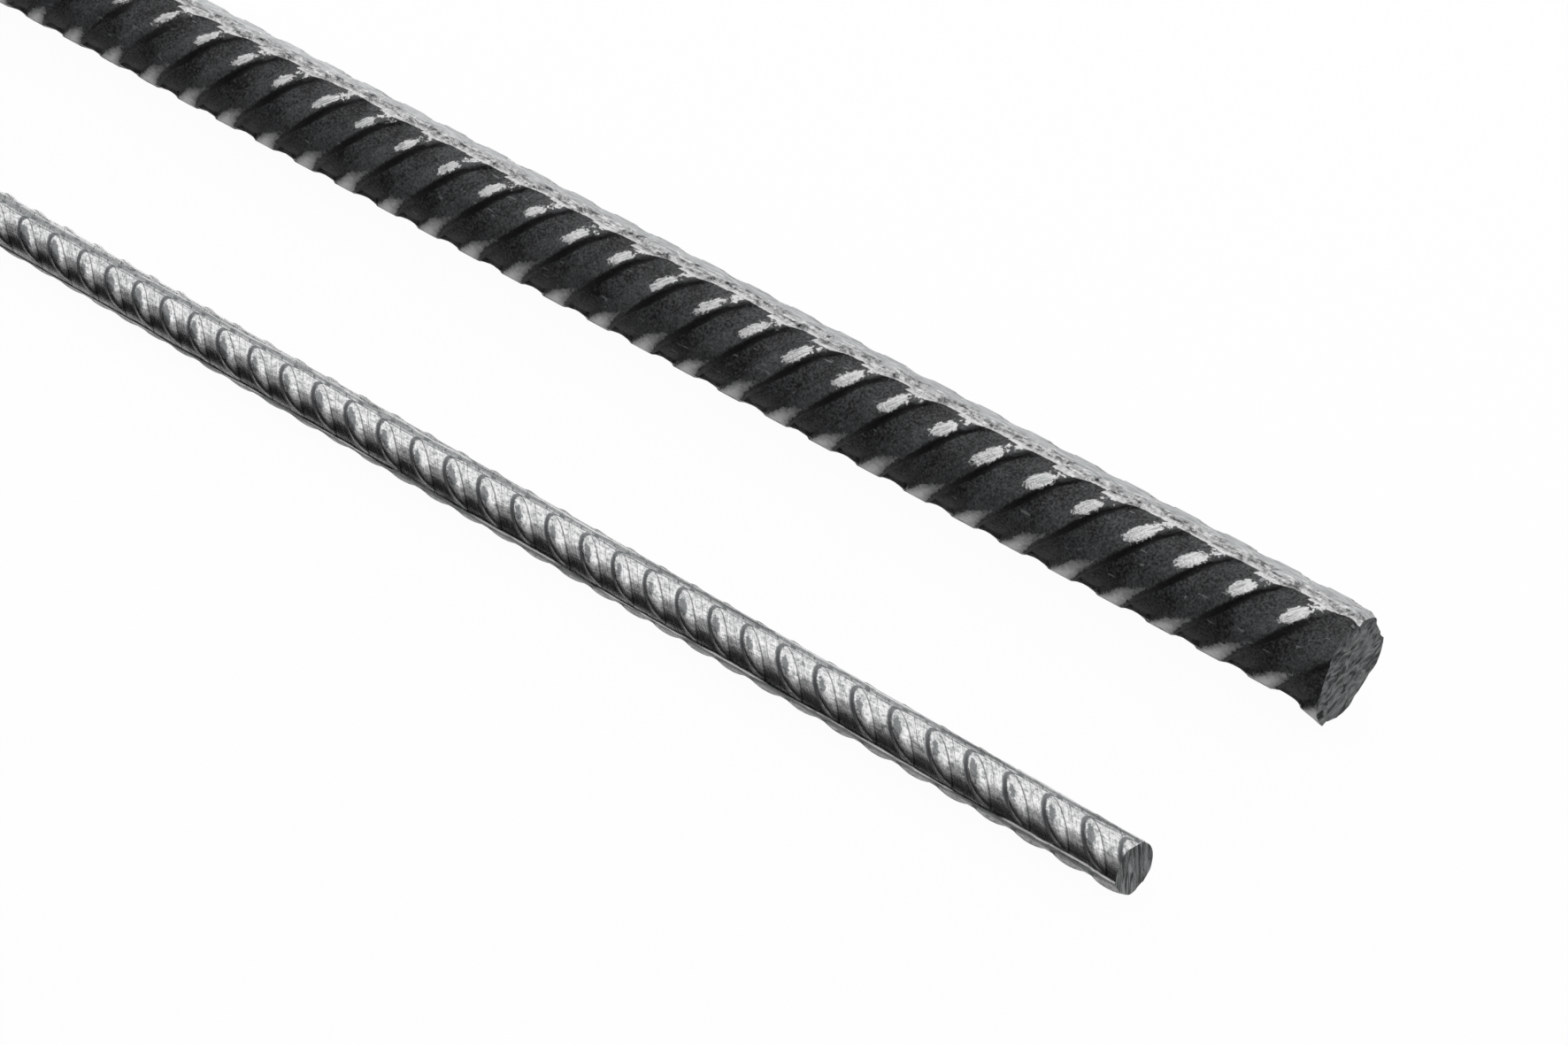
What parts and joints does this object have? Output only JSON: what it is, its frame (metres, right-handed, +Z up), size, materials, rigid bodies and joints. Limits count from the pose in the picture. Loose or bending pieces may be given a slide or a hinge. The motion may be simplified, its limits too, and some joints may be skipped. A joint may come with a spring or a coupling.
{
  "type": "pair of reinforcing bars",
  "caption": "Loose steel reinforcing bars lying side by side: a thick hot-rolled ribbed bar under black scale and a thin bright cold-rolled ribbed wire.",
  "frame": {"origin": "bottom centre of the pair's outline, on the floor that both bars lie on", "axes": "+X along both bars towards the ends that are squared up, +Y across the floor from the thin bar to the thick bar, +Z up"},
  "size_m": [1, 0.0472, 0.0124],
  "materials": {
    "black_scale_steel": "hot-rolled, matt black mill scale, worn bright on the rib crests and lengthwise ribs",
    "bright_steel": "cold-rolled, satin silver grey with drawn streaks and darker valleys"
  },
  "bodies": {
    "root": {"thick_bar": "black_scale_steel", "thin_bar": "bright_steel"}
  },
  "joints": []
}
